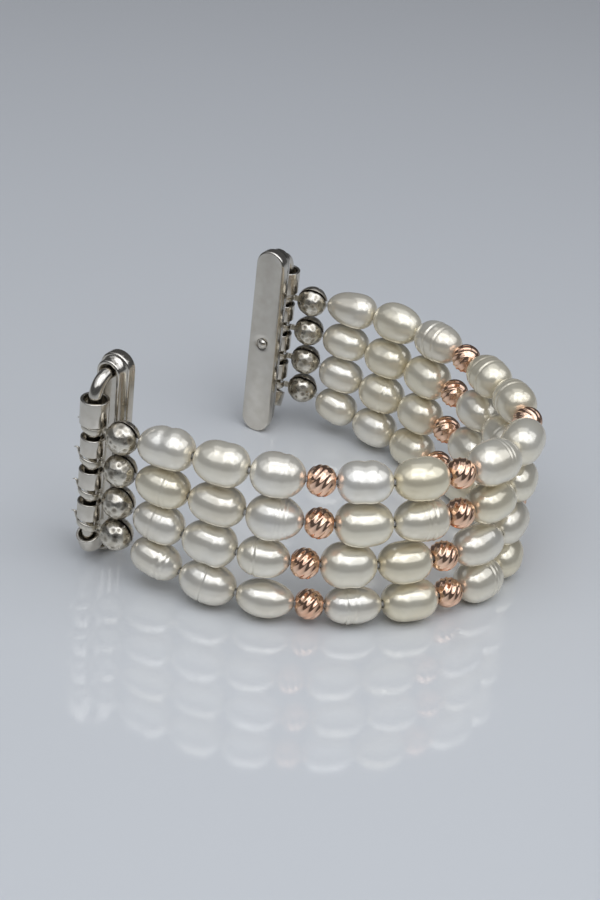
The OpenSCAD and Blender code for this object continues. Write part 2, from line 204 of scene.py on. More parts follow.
def bump(tree, bsdf, height, depth, strength):
    made = tree.nodes.new("ShaderNodeBump")
    made.inputs["Distance"].default_value = depth
    made.inputs["Strength"].default_value = strength
    tree.links.new(height, made.inputs["Height"])
    tree.links.new(made.outputs["Normal"], bsdf.inputs["Normal"])


def pearl_material():
    """Nacre, from nearly white to cream: each pearl's warmth is marked by the mesh."""
    mat, tree, bsdf = shader("nacre", Metallic=0.52, IOR=1.62, Coat_Weight=0.30,
                             Coat_Roughness=0.10, Coat_IOR=1.6)
    tone = ramp(tree, noise(tree, 170, 2), (0.3, (0.83, 0.765, 0.64)),
                (0.5, (0.885, 0.835, 0.725)), (0.72, (0.915, 0.88, 0.80)))
    warmth = ramp(tree, mark(tree), (0.0, (1.0, 1.0, 1.0)), (1.0, (1.0, 0.96, 0.82)))
    paint(tree, bsdf, multiply(tree, tone, warmth))
    roughen(tree, bsdf, noise(tree, 420, 3), (0.3, grey(0.17)), (0.75, grey(0.27)))
    return mat


def rose_material():
    mat, tree, bsdf = shader("rose_gold_plate", Metallic=1.0)
    paint(tree, bsdf, ramp(tree, noise(tree, 600, 2), (0.3, (0.84, 0.50, 0.34)),
                           (0.7, (0.95, 0.66, 0.48))))
    roughen(tree, bsdf, noise(tree, 1500, 2), (0.3, grey(0.09)), (0.7, grey(0.18)))
    bump(tree, bsdf, noise(tree, 4000, 2), 0.01 * MM, 0.2)
    return mat


def nickel_material():
    mat, tree, bsdf = shader("polished_nickel", Metallic=1.0)
    paint(tree, bsdf, ramp(tree, noise(tree, 700, 4), (0.3, (0.62, 0.575, 0.50)),
                           (0.7, (0.70, 0.66, 0.59))))
    roughen(tree, bsdf, noise(tree, 900, 4, 0.7), (0.35, grey(0.12)), (0.75, grey(0.27)))
    bump(tree, bsdf, noise(tree, 2500, 3), 0.008 * MM, 0.3)
    return mat


def silver_material():
    """Old hammered silver, dark in its dents, which the mesh marks; the band beside the seam and the
    inside of the cups are darkened as painted shade.
    """
    mat, tree, bsdf = shader("hammered_silver", Metallic=1.0)
    # Mark 0 is bare silver; higher marks are the dark dents, and the painted shade at the seam and
    # inside the cups
    paint(tree, bsdf, ramp(tree, mark(tree), (0.0, (0.70, 0.655, 0.565)),
                           (0.45, (0.50, 0.455, 0.375)), (1.0, (0.12, 0.10, 0.08))))
    roughen(tree, bsdf, noise(tree, 1500, 3), (0.3, grey(0.22)), (0.7, grey(0.38)))
    bump(tree, bsdf, noise(tree, 3000, 4), 0.02 * MM, 0.5)
    return mat


def cord_material():
    mat, tree, bsdf = shader("clear_elastic", Roughness=0.3, Transmission_Weight=0.35, IOR=1.49)
    paint(tree, bsdf, ramp(tree, noise(tree, 900, 2), (0.3, (0.82, 0.80, 0.76)),
                           (0.7, (0.92, 0.91, 0.88))))
    return mat


NACRE = pearl_material()
ROSE = rose_material()
NICKEL = nickel_material()
SILVER = silver_material()
CORD = cord_material()


# Mesh building

def full_turn(count):
    """Angles that go once round, in equal steps."""
    return 2 * np.pi * np.arange(count) / count


def grid_faces(loops, around):
    """Quads from each loop of points to the next, and from the last loop back to the first."""
    faces = []
    for i in range(loops):
        onward = (i + 1) % loops
        for j in range(around):
            beside = (j + 1) % around
            faces.append((i * around + j, onward * around + j, onward * around + beside,
                          i * around + beside))
    return faces


def capped_faces(loops, around):
    """Quads from each loop of points to the next, with a face over the first and the last loop."""
    faces = grid_faces(loops, around)[:(loops - 1) * around]
    faces.append(tuple(range(around)))
    faces.append(tuple((loops - 1) * around + k for k in range(around))[::-1])
    return faces


class Build:
    """Collects points and faces for one mesh piece."""

    def __init__(self):
        self.points, self.faces, self.marks = [], [], []

    def add(self, points, faces, marks=0.0):
        """Adds one closed shell and turns its faces outwards; marks are one number or one a point."""
        start = sum(len(p) for p in self.points)
        points = np.asarray(points, float)
        centred = points - points.mean(0)
        volume = 0
        for size in {len(f) for f in faces}:
            corners = centred[np.array([f for f in faces if len(f) == size])]
            for k in range(1, size - 1):
                volume += np.einsum("ij,ij", corners[:, 0], np.cross(corners[:, k], corners[:, k + 1]))
        if volume < 0:
            faces = [f[::-1] for f in faces]
        self.points.append(points)
        self.faces += [tuple(start + k for k in f) for f in faces]
        self.marks.append(np.broadcast_to(marks, len(points)))

    def piece(self, name, material, slot, body=None, replaces=()):
        """Makes the mesh piece, which rides on the body and takes the place of the CAD nodes named."""
        mesh = bpy.data.meshes.new(name)
        mesh.from_pydata(np.concatenate(self.points).tolist(), [], self.faces)
        mesh.materials.append(material)
        mesh.shade_smooth()
        marks = mesh.attributes.new("mark", "FLOAT", "POINT")
        marks.data.foreach_set("value", np.concatenate(self.marks).astype(np.float32))
        mesh.validate()
        obj = bpy.data.objects.new(name, mesh)
        bpy.context.scene.collection.objects.link(obj)
        if replaces:
            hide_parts(*replaces)
        if body:
            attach(obj, body)
        return obj


def across(way):
    """An axis that is well away from the way given."""
    return Z if abs(way[2]) < 0.9 else X


def on_axis(mid, way, up, x, y, z):
    """Points from a local frame into the scene: x runs along the way, and z is up."""
    side = unit(np.cross(up, way))
    top = np.cross(way, side)
    return (mid + np.multiply.outer(x, way) + np.multiply.outer(y, side)
            + np.multiply.outer(z, top))


def tube_along(build, path, radius, sides, closed=False):
    """A round tube along a path of points; the radius is one number or one a point."""
    path = np.asarray(path, float)
    count = len(path)
    if closed:
        ways = np.roll(path, -1, 0) - np.roll(path, 1, 0)
    else:
        ways = np.gradient(path, axis=0)
    ways = ways / np.linalg.norm(ways, axis=1)[:, None]
    radii = np.broadcast_to(radius, count)
    side = unit(np.cross(ways[0], across(ways[0])))
    turn = full_turn(sides)
    rings = []
    for place, way, r in zip(path, ways, radii):
        side = unit(side - (side @ way) * way)
        up = np.cross(side, way)
        rings.append(place + r * (np.outer(np.cos(turn), side) + np.outer(np.sin(turn), up)))
    faces = grid_faces(count, sides) if closed else capped_faces(count, sides)
    build.add(np.concatenate(rings), faces)


def add_drilled(build, mid, way, outside, bore_x, bore_r, marks=0.0):
    """A drilled bead: its outside as loops of x, y and z, closed by loops down the bore."""
    around = outside[0].shape[1]
    place, angle = np.meshgrid(bore_x, full_turn(around), indexing="ij")
    bore = (place, bore_r * np.cos(angle), bore_r * np.sin(angle))
    x, y, z = (np.concatenate(pair).ravel() for pair in zip(outside, bore))
    faces = grid_faces(len(outside[0]) + len(bore_x), around)
    build.add(on_axis(mid, way, Z, x, y, z), faces, marks)


# Pearls. The tables are by (row, number) and hold what makes a pearl its own; lengths and
# diameters are the frame's. Places along a pearl go from -1 to 1, towards the far pin.
# EGG is positive where the end towards the far pin is fuller. BLUNT is 2 for an ellipse.
EGG = {(1, 1): 0.06, (1, 2): 0.05, (1, 3): -0.03, (1, 12): -0.16, (2, 1): 0.04, (2, 2): 0.05,
       (2, 3): -0.06, (3, 3): -0.04, (3, 5): 0.06, (4, 3): -0.04, (2, 5): 0.10, (4, 5): 0.03,
       (1, 4): -0.03, (3, 1): 0.05, (4, 1): -0.02}
BLUNT = {(1, 1): 3.3, (4, 3): 2.05, (2, 3): 2.15, (3, 3): 2.25, (2, 4): 2.9}
# Rings: (place, depth, width)
RINGS = {
    (1, 2): [(0.10, 0.02, 0.2)],
    (1, 3): [(0.12, 0.03, 0.12), (0.5, 0.015, 0.06)],
    (2, 1): [(0.2, 0.03, 0.05), (0.35, 0.015, 0.04)],
    (2, 3): [(0.10, 0.025, 0.035), (0.24, 0.03, 0.035), (0.40, 0.035, 0.03)],
    (3, 1): [(-0.15, 0.035, 0.05), (0.2, 0.015, 0.06)],
    (3, 2): [(0.12, 0.05, 0.22)],
    (3, 3): [(-0.30, 0.05, 0.05)],
    (4, 1): [(0.3, 0.03, 0.08), (0.5, 0.02, 0.05)],
    (4, 2): [(-0.05, 0.045, 0.035)],
    (2, 5): [(-0.02, 0.03, 0.035), (0.26, 0.045, 0.05), (-0.16, 0.015, 0.03)],
    (1, 4): [(-0.05, 0.045, 0.18)],
    (3, 4): [(0.1, 0.02, 0.2)],
    (4, 4): [(-0.3, 0.045, 0.04), (0.0, 0.02, 0.05)],
    (1, 6): [(0.12, 0.018, 0.03), (0.30, 0.02, 0.03), (0.62, 0.045, 0.05)],
    (2, 6): [(0.45, 0.04, 0.045)],
    (4, 6): [(0.10, 0.025, 0.05), (0.32, 0.02, 0.04), (0.5, 0.018, 0.04)],
    (3, 6): [(0.2, 0.012, 0.05)],
    (1, 8): [(0.0, 0.03, 0.05), (0.3, 0.02, 0.04)],
    (1, 9): [(-0.2, 0.03, 0.05), (0.2, 0.025, 0.05)],
    (1, 10): [(0.1, 0.03, 0.05), (-0.25, 0.02, 0.04)],
    (3, 7): [(0.3, 0.025, 0.05)],
    (2, 8): [(-0.3, 0.02, 0.05)],
    (4, 10): [(0.2, 0.02, 0.06)],
    (3, 11): [(-0.35, 0.025, 0.05)],
}
# Swellings on a pearl's upper side: the swelling's height, then (height, place, width) of what
# rises or dips on it
SWELLINGS = {(1, 1): (0.17, ((-0.07, 0.02, 0.17), (0.04, 0.40, 0.22)))}
# Warmth: 0 is nearly white and 1 is cream
WARMTH = {
    (1, 1): 0.1, (1, 2): 0.35, (1, 3): 0.05, (1, 4): 0.05, (1, 5): 1.0,
    (2, 1): 0.65, (2, 2): 0.2, (2, 3): 0.0, (2, 4): 0.65, (2, 5): 0.4,
    (3, 1): 0.0, (3, 2): 0.1, (3, 3): 0.25, (3, 4): 0.4, (3, 5): 0.7,
    (4, 1): 0.1, (4, 2): 0.0, (4, 3): 0.1, (4, 4): 0.0, (4, 5): 0.75,
}
# Lumps, from broad to fine: the most they rise, and the fewest and most waves along the pearl
LUMPS = ((0.018, 0.8, 2),) * 3 + ((0.008, 2, 4),) * 3 + ((0.003, 4, 8),) * 2
LUMP_WAVE = 1.7
# What is drawn for a pearl that a table leaves out, and for every pearl's cross-section and bow
EGG_RANGE = (-0.06, 0.06)
BLUNT_RANGE = (2.3, 2.8)
OVAL_RANGE = (0.005, 0.028)
BOW_MOST = 0.018
WARMTH_RANGE = (0.1, 0.8)
# A ring wavers round the pearl: (how far, waves round, shift with the ring's place). It is
# shallower on one side, and has a raised lip beside it.
RING_WAVES = ((0.03, 1, 9), (0.015, 3, 5))
RING_FADE = 0.25
RING_LIP, RING_LIP_AT = 0.5, 1.7
PEARL_BORE_R = 0.50 * MM
PEARL_BORE_IN = 0.96
PEARL_BORE_AT = np.array([0.985, 0.93, 0.6, 0, -0.6, -0.93, -0.985])
PEARL_ALONG = 84
PEARL_ROUND = 48


def grow_pearl(build, row, number, mid, way, length, d):
    """One pearl: a blunt oval with its own egg shape, rings, lumps and bow, drilled through."""
    rand = random.Random(100 * row + number)
    key = (row, number)
    egg = EGG.get(key, rand.uniform(*EGG_RANGE))
    blunt = BLUNT.get(key, rand.uniform(*BLUNT_RANGE))
    oval, oval_at = rand.uniform(*OVAL_RANGE), rand.uniform(0, math.pi)
    bow, bow_at = rand.uniform(0, BOW_MOST) * d / 2, rand.uniform(0, 2 * math.pi)
    lumps = [(rand.uniform(0.3, 1) * size, rand.randint(1, 3), rand.uniform(least, most),
              rand.uniform(0, 2 * math.pi), rand.uniform(0, 2 * math.pi))
             for size, least, most in LUMPS]
    drilled = (1 - (2 * PEARL_BORE_R / d) ** 2) ** (1 / blunt)
    even = np.linspace(-1, 1, PEARL_ALONG + 1)
    crowded = drilled * (even + np.sin(np.pi / 2 * even)) / 2
    along, angle = np.meshgrid(crowded, full_turn(PEARL_ROUND), indexing="ij")
    shape = np.sqrt(np.clip(1 - np.abs(along) ** blunt, 0, 1)) * (1 + egg * along)
    for at, depth, width in RINGS.get(key, []):
        off = along - at - sum(size * np.sin(waves * angle + at * shift)
                               for size, waves, shift in RING_WAVES)
        deep = depth * (1 - RING_FADE + RING_FADE * np.sin(angle + row))
        shape *= 1 - deep * np.exp(-(off / width) ** 2)
        shape *= 1 + RING_LIP * deep * np.exp(-(off / width - RING_LIP_AT) ** 2)
    belly = np.clip(1 - (along / drilled) ** 2, 0, 1)
    shape *= 1 + oval * np.cos(2 * (angle - oval_at)) * np.sqrt(belly)
    for size, waves_round, waves_along, turned, moved in lumps:
        shape *= 1 + size * belly * (np.cos(waves_round * angle + turned)
                                     * np.sin(waves_along * along * LUMP_WAVE + moved))
    r = d / 2 * shape / shape.max()
    if key in SWELLINGS:
        height, details = SWELLINGS[key]
        for rise, at, width in details:
            height = height + rise * np.exp(-((along - at) / width) ** 2)
        r *= 1 + np.clip(np.sin(angle), 0, 1) * belly * height
    r = np.maximum(r, PEARL_BORE_R)
    outside = (along * length / 2 / drilled,
               r * np.cos(angle) + bow * belly * math.cos(bow_at),
               r * np.sin(angle) + bow * belly * math.sin(bow_at))
    warmth = WARMTH.get(key, rand.uniform(*WARMTH_RANGE))
    add_drilled(build, mid, way, outside, PEARL_BORE_AT * length / 2, PEARL_BORE_IN * PEARL_BORE_R,
                warmth)


# Rose-gold beads
FLUTES = 10
FLUTE_DEPTH = 0.07
FLUTE_SLANT = math.radians(54)
FLUTE_STEPS = 14
# How quickly the flutes get shallower towards the bead's ends
FLUTE_FADE = 0.8
ROSE_SWELL = 0.02
ROSE_BORE_R = 0.62 * MM
ROSE_MOUTH_R = 1.25 * ROSE_BORE_R
ROSE_BORE_AT = np.array([0.96, 0.8, 0, -0.8, -0.96])
ROSE_ALONG = 40


def cut_rose_bead(build, mid, way, length, d, roll):
    """One diamond-cut bead: a ball with flat ends and sharp-edged slanted flutes."""
    end = math.asin(min(1, length / d))
    latitude, angle = np.meshgrid(np.linspace(-end, end, ROSE_ALONG + 1),
                                  full_turn(FLUTES * FLUTE_STEPS), indexing="ij")
    turn = angle + roll + math.tan(FLUTE_SLANT) * np.sin(latitude)
    depth = FLUTE_DEPTH * np.cos(latitude) ** FLUTE_FADE
    flute = np.abs(np.cos(FLUTES / 2 * turn))
    r = d / 2 * np.cos(latitude) * (1 - depth * flute) + ROSE_SWELL * d
    r = np.maximum(r, ROSE_MOUTH_R)
    outside = (d / 2 * np.sin(latitude), r * np.cos(angle), r * np.sin(angle))
    add_drilled(build, mid, way, outside, ROSE_BORE_AT * length / 2, ROSE_BORE_R)


# The strands, as the frame holds them: beads[row][i] is (middle, direction, length, diameter).
# P is a pearl and R a rose-gold bead, from the near pin to the far pin.
KINDS = "PPPRPPRPPRPPRPPP"
names, bodies, seen = [], [], {"P": 0, "R": 0}
for kind in KINDS:
    seen[kind] += 1
    names.append(f"pearls_{seen[kind]:02d}" if kind == "P" else f"rose_beads_{seen[kind]}")
    bodies.append(f"pearls {seen[kind]}" if kind == "P" else f"rose beads {seen[kind]}")
columns = [solids_of(name) for name in names]
near_knots = [long_axis(points)[0] for points in solids_of("near_knots")]
far_knots = [long_axis(points)[0] for points in solids_of("far_knots")]


def bead_end(bead, sign):
    """The middle of a bead's end: sign is 1 for the end towards the far pin, -1 for the other."""
    mid, way, length, _ = bead
    return mid + sign * way * length / 2


beads = [[None] * len(KINDS) for _ in range(ROWS)]
for row in range(ROWS):
    middles = [(column[row].max(0) + column[row].min(0)) / 2 for column in columns]
    line = [near_knots[row], *middles, far_knots[row]]
    for i, kind in enumerate(KINDS):
        if kind == "P":
            mid, way, length, d = long_axis(columns[i][row])
            onward = unit(line[i + 2] - line[i])
            beads[row][i] = (mid, way if way @ onward > 0 else -way, length, d)
    # A rose bead is nearly round, so its direction comes from the pearls on its two sides
    for i, kind in enumerate(KINDS):
        if kind == "R":
            start, stop = bead_end(beads[row][i - 1], 1), bead_end(beads[row][i + 1], -1)
            way = unit(stop - start)
            points = columns[i][row] - middles[i]
            along = points @ way
            off = points - np.outer(along, way)
            beads[row][i] = ((start + stop) / 2, way, along.max() - along.min(),
                             2 * np.linalg.norm(off, axis=1).max())


# The pearls grow into the gaps between the beads. A pearl's end is round and a rose bead's flat.
PEARL_END_R = 2.9 * MM
ROSE_FLAT_R = 0.9 * MM
# What is left free between two beads: a bend beyond the one at rest, and air
PEARL_FLEX = math.radians(9)
PEARL_AIR = 0.06 * MM
ROSE_FLEX = math.radians(6)
ROSE_AIR = 0.035 * MM
# Pearl 9 and rose bead 4 come closest when their hinge is straightened, so they get more air
CLOSE_PAIR = (11, 12)
CLOSE_AIR = 0.11 * MM
# How far the first and the last pearl grow towards their bead tips
TIP_REACH = 0.05 * MM


def reach(row, i, other):
    """How far a pearl grows towards its neighbour: as near as the flex between them allows."""
    if not 0 <= other < len(KINDS):
        return TIP_REACH
    here, there = beads[row][i], beads[row][other]
    sign = 1 if other > i else -1
    gap = np.linalg.norm(bead_end(there, -sign) - bead_end(here, sign))
    bend = math.acos(min(1, here[1] @ there[1]))
    if KINDS[other] == "P":
        need = 2 * PEARL_END_R * (1 / math.cos((bend + PEARL_FLEX) / 2) - 1)
        return max(0, (gap - PEARL_AIR - need) / 2)
    need = max(0, ROSE_FLAT_R * math.tan(bend + ROSE_FLEX) - ROSE_FLAT_R ** 2 / (2 * PEARL_END_R))
    air = CLOSE_AIR if (i, other) == CLOSE_PAIR else ROSE_AIR
    return max(0, gap - air - need)


for i, name in enumerate(names):
    build = Build()
    for row in range(ROWS):
        mid, way, length, d = beads[row][i]
        if KINDS[i] == "P":
            back, ahead = reach(row, i, i - 1), reach(row, i, i + 1)
            grow_pearl(build, row + 1, int(name[-2:]), mid + way * (ahead - back) / 2, way,
                       length + back + ahead, d)
        else:
            rand = random.Random(50 * row + i)
            cut_rose_bead(build, mid, way, length, d, rand.uniform(0, 6))
    if KINDS[i] == "P":
        build.piece("nacre_" + name, NACRE, "pearl", bodies[i], [name])
    else:
        build.piece("fluted_" + name, ROSE, "rose_gold", bodies[i], [name])


# The cord in each gap, bending from one body to the next
CUP_R = 2.3 * MM
CORD_R = 0.35 * MM
CORD_SIDES = 10
CORD_STEPS = 12
# How far a piece of cord goes into the beads, and how far inside them its bending starts
CORD_IN = 1.1 * MM
CORD_EASE = 0.2
for row in range(ROWS):
    for gap in range(len(KINDS) + 1):
        if gap == 0:
            stop = bead_end(beads[row][0], -1)
            start = near_knots[row] + unit(stop - near_knots[row]) * CUP_R
        elif gap == len(KINDS):
            start = bead_end(beads[row][-1], 1)
            stop = far_knots[row] + unit(start - far_knots[row]) * CUP_R
        else:
            start, stop = bead_end(beads[row][gap - 1], 1), bead_end(beads[row][gap], -1)
        way_in = beads[row][gap - 1][1] if gap else unit(stop - start)
        way_out = beads[row][gap][1] if gap < len(KINDS) else unit(stop - start)
        first, last = start - way_in * CORD_IN, stop + way_out * CORD_IN
        s = np.linspace(0, 1, CORD_STEPS + 1)[:, None]
        path = ((1 - s) ** 3 * first + 3 * (1 - s) ** 2 * s * (start + CORD_EASE * (start - first))
                + 3 * (1 - s) * s ** 2 * (stop + CORD_EASE * (stop - last)) + s ** 3 * last)
        build = Build()
        tube_along(build, path, CORD_R, CORD_SIDES)
        piece = build.piece(f"cord_{row + 1}_{gap:02d}", CORD, "cord")
        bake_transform(piece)
        if gap == 0:
            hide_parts(f"elastic_cord_{row + 1}")


# Bead tips: two hammered cups shut on the knot, with a strip hooked round the pin
CUP_WALL = 0.33 * MM
CUP_LOOPS = 26
SEAM = 0.2 * MM
RIM_STEPS = np.array([0.25, 0.6, 1.0])
RIM_BULGE = 0.012
ROUND = 72
# Dents: their number, radius and depth, as shares of the cup's radius
DENTS = 80
DENT_SIZE = (0.11, 0.27)
DENT_DEPTH = (0.018, 0.05)
# Dents follow a spiral from pole to pole; each is moved by up to these, round and up
DENT_TURN, DENT_RISE = 0.35, 0.05
GOLDEN_ANGLE = 2.39996
POLE = 0.98
# How dark the dents are, and the painted shade along the seam: the depth that is fully dark, and the
# band beside the seam
DARK_DEPTH = 0.055
SEAM_PAINTED_SHADE = 0.8
SEAM_BAND, SEAM_FADE = 0.10, 0.14


def hammer(rand):
    """Dents on the unit sphere: (direction, radius, depth)."""
    dents = []
    for k in range(DENTS):
        z = 1 - (2 * k + 1) / DENTS
        angle = k * GOLDEN_ANGLE + rand.uniform(-DENT_TURN, DENT_TURN)
        z = min(POLE, max(-POLE, z + rand.uniform(-DENT_RISE, DENT_RISE)))
        r = math.sqrt(1 - z * z)
        dents.append((np.array([r * math.cos(angle), r * math.sin(angle), z]),
                      rand.uniform(*DENT_SIZE), rand.uniform(*DENT_DEPTH)))
    return dents


def dented(directions, dents):
    """How deep each direction lies in the dents, as a share of the radius."""
    depth = np.zeros(len(directions))
    for at, size, deep in dents:
        off = np.linalg.norm(directions - at, axis=1) / size
        depth = np.maximum(depth, deep * np.clip(1 - off ** 2, 0, 1))
    return depth


def cup(build, mid, way, up, half, dents):
    """Half a hollow ball, with a rolled rim; half is +1 or -1, the side it lies on."""
    rim = math.pi / 2 - SEAM / CUP_R
    outer = rim * np.linspace(0, 1, CUP_LOOPS + 1)[1:]
    inner = outer[::-1][1:]
    polar = np.concatenate([outer, rim + RIM_BULGE * np.sin(RIM_STEPS * math.pi), inner])
    radius = np.concatenate([np.full(len(outer), CUP_R), CUP_R - CUP_WALL * RIM_STEPS,
                             np.full(len(inner), CUP_R - CUP_WALL)])
    tilt, angle = (grid.ravel() for grid in np.meshgrid(polar, full_turn(ROUND), indexing="ij"))
    r = np.repeat(radius, ROUND)
    directions = np.stack([np.sin(tilt) * np.cos(angle), half * np.cos(tilt),
                           np.sin(tilt) * np.sin(angle)], 1)
    deep = dented(directions, dents) * np.clip((r - CUP_R + CUP_WALL) / CUP_WALL, 0, 1)
    x, y, z = (directions * (r * (1 - deep))[:, None]).T
    # Painted shade: the outside darkens in a band towards the rim, beside the seam between the two
    # cups, and the inside of each cup is marked fully dark
    seam_painted_shade = SEAM_PAINTED_SHADE * np.clip((tilt - rim + SEAM_BAND) / SEAM_FADE, 0, 1)
    inside = r < CUP_R - CUP_WALL / 2
    build.add(on_axis(mid, way, up, x, y, z), capped_faces(len(polar), ROUND),
              np.clip(deep / DARK_DEPTH + seam_painted_shade + inside, 0, 1))


STRIP_SIDES = 16
STRIP_SQUARE = 0.75


def squared(wave):
    """A wave with broader tops, which makes a round section squarer."""
    return np.sign(wave) * np.abs(wave) ** STRIP_SQUARE


def strip(build, path, width, thick):
    """A strip along a path, standing on its edge, rounded across; width is given at each point."""
    path = np.asarray(path, float)
    ways = np.gradient(path, axis=0)
    ways /= np.linalg.norm(ways, axis=1)[:, None]
    turn = full_turn(STRIP_SIDES)
    sideways, upward = squared(np.cos(turn)), squared(np.sin(turn))
    rings = []
    for place, way, wide in zip(path, ways, width):
        side = unit(np.cross(Z, way))
        up = np.cross(way, side)
        rings.append(place + np.outer(sideways * thick / 2, side) + np.outer(upward * wide / 2, up))
    build.add(np.concatenate(rings), capped_faces(len(path), STRIP_SIDES))


# The hook's strip: the radius of its line round the pin, its thickness, and its width, which
# narrows to its end. Its line is straight from HOOK_START to the ring, then goes round the pin.
HOOK_LINE = 1.27 * MM
HOOK_THICK = 0.38 * MM
HOOK_W, HOOK_END_W = 0.95 * MM, 0.55 * MM
HOOK_START, HOOK_STRAIGHT_END = 2.55 * MM, 1.05 * HOOK_LINE
HOOK_TURN = np.radians(np.linspace(8, 312, 44))
# The width changes where this range, spread over the strip's length, goes from 0 to 1
HOOK_NARROWS = (-0.9, 2)
# How much further out the strip goes on its side, and how high it is lifted at which angle
HOOK_BELLY = 0.38 * MM
HOOK_BELLY_ROUND = 0.7
LIFT, TOP_LIFT = 0.75 * MM, 0.55 * MM
LIFT_AT = math.radians(153)
# The spur, a pointed tongue from the lifted part: (out, up) in millimetres, from root to point,
# its radius at three places along it, and its lean round the pin in radians a millimetre
SPUR = ((0.0, 0.0), (0.20, 0.30), (0.34, 0.62), (0.42, 0.90), (0.66, 1.08), (1.02, 1.02))
SPUR_PLACES, SPUR_RADII = (0, 3.5, 5), (0.24, 0.17, 0.03)
SPUR_LEAN = 0.12
SPUR_STEPS = 16
SPUR_SIDES = 10


def add_hook(build, pin, way, lift, spur_size):
    """The strip from the cups round the pin, lifted on the side away from the strand, and its spur."""
    side = np.cross(way, Z)

    def around(angle, out=0):
        r = HOOK_LINE + HOOK_BELLY * max(0, math.sin(angle)) ** HOOK_BELLY_ROUND + out
        rise = lift * (1 - math.cos(angle * math.pi / LIFT_AT)) / 2
        return pin + r * (math.cos(angle) * way + math.sin(angle) * side) + rise * Z

    path = [pin + way * x for x in np.linspace(HOOK_START, HOOK_STRAIGHT_END, 5)]
    path += [around(angle) for angle in HOOK_TURN]
    narrow = np.clip(np.linspace(*HOOK_NARROWS, len(path)), 0, 1)
    strip(build, path, HOOK_W + (HOOK_END_W - HOOK_W) * narrow, HOOK_THICK)
    spur = np.array([around(LIFT_AT + SPUR_LEAN * up, out * MM * spur_size) + Z * up * MM * spur_size
                     for out, up in SPUR])
    t = np.linspace(0, len(SPUR) - 1, SPUR_STEPS)
    line = np.stack([np.interp(t, range(len(SPUR)), spur[:, k]) for k in range(3)], 1)
    line[1:-1] = (line[:-2] + 2 * line[1:-1] + line[2:]) / 4
    tube_along(build, line, np.interp(t, SPUR_PLACES, SPUR_RADII) * MM, SPUR_SIDES)


# The knots are trefoils
KNOT_SIZE = 0.29 * MM
KNOT_CORD_R = 0.33 * MM
KNOT_STEPS = 90
# The seed of a side's dents, how far its seams are rolled over, and the size of its spurs
TIPS = (("near", near_knots, 900, 0, 1), ("far", far_knots, 910, 0.36, 0.4))
for side, knots_at, seed, seam_roll, spur_size in TIPS:
    pin_xy = pin_axis(side)
    for row in range(ROWS):
        knot = knots_at[row]
        pin = np.array([*pin_xy, knot[2]])
        way = unit(knot - pin)
        dents = hammer(random.Random(seed + row))
        up = unit(Z + seam_roll * np.cross(way, Z))
        lift = TOP_LIFT if row == 0 else LIFT
        build = Build()
        cup(build, knot, way, up, 1, dents)
        cup(build, knot, way, up, -1, dents)
        add_hook(build, pin, way, lift, spur_size * lift / LIFT)
        build.piece(f"hammered_{side}_tip_{row + 1}", SILVER, "antique_silver", f"{side} tips",
                    [f"{side}_bead_tip_{row + 1}"])
    build = Build()
    t = full_turn(KNOT_STEPS)
    trefoil = np.stack([np.sin(t) + 2 * np.sin(2 * t), np.cos(t) - 2 * np.cos(2 * t),
                        -1.6 * np.sin(3 * t)], 1) * KNOT_SIZE
    for knot in knots_at:
        tube_along(build, knot + trefoil, KNOT_CORD_R, CORD_SIDES, closed=True)
    build.piece(f"{side}_tied_knots", CORD, "cord", f"{side} tips", [f"{side}_knots"])


# Tubes: turned from polished plate, with rounded lips
OUTER_LIP, INNER_LIP = 0.13 * MM, 0.10 * MM
LIP_STEPS = 4


def lathe(build, mid, way, profile):
    """A closed ring from a closed profile of (along, radius) points."""
    along, r = np.array(profile).T
    angle = full_turn(ROUND)
    build.add(on_axis(mid, way, across(way), np.repeat(along, ROUND),
                      np.outer(r, np.cos(angle)).ravel(), np.outer(r, np.sin(angle)).ravel()),
              grid_faces(len(profile), ROUND))


def lip(along, r, along_sign, r_sign, size):
    """Points round one corner of a profile, from the side face to the end face."""
    points = []
    for a in np.linspace(0, math.pi / 2, LIP_STEPS + 1):
        points.append((along - along_sign * size * (1 - math.sin(a)),
                       r - r_sign * size * (1 - math.cos(a))))
    return points


for joint in frame["joints"]:
    if not joint["name"].endswith("spin"):
        continue
    name = joint["child"].replace(" ", "_")
    points = solids_of(name)[0]
    way, at = unit(np.array(joint["axis"], float)), np.array(joint["pos_m"], float)
    along = (points - at) @ way
    off = np.linalg.norm(points - at - np.outer(along, way), axis=1)
    half, mid = (along.max() - along.min()) / 2, at + way * (along.max() + along.min()) / 2
    outer, bore = off.max(), off.min()
    profile = (lip(-half, outer, -1, 1, OUTER_LIP)[::-1] + lip(half, outer, 1, 1, OUTER_LIP)
               + lip(half, bore, 1, -1, INNER_LIP)[::-1] + lip(-half, bore, -1, -1, INNER_LIP))
    build = Build()
    lathe(build, mid, way, profile[::-1])
    build.piece("turned_" + name, NICKEL, "nickel", joint["child"], [name])


# Slide bars: an oval bar with a trough in its face and the nub's pocket in its back, all edges
# polished round. Depths are measured from the pin.
EDGE, TROUGH_EDGE = 0.28 * MM, 0.15 * MM
EDGE_STEPS = 4
FACE_INSET = 0.5 * MM
SHOULDER = 0.01 * MM
TROUGH_R, TROUGH_DEPTH = 1.3 * MM, 1.3 * MM
TROUGH_CORNER = 0.1 * MM
# The radius of a ring that closes a surface at its middle
POINT_R = 0.02 * MM
# The pocket's rings in millimetres: (radius, how far under the back)
POCKET = ((0.02, 1.35), (1.2, 1.35), (1.2, 0.25), (0.85, 0.25), (0.85, 0.05), (0.90, 0), (1.6, 0))
OVAL_END_STEPS = 16
OVAL_SIDE_STEPS = 22
# The points on a straight side lie at equal angles, as seen from this far off
OVAL_CROWD = 2.3 * MM


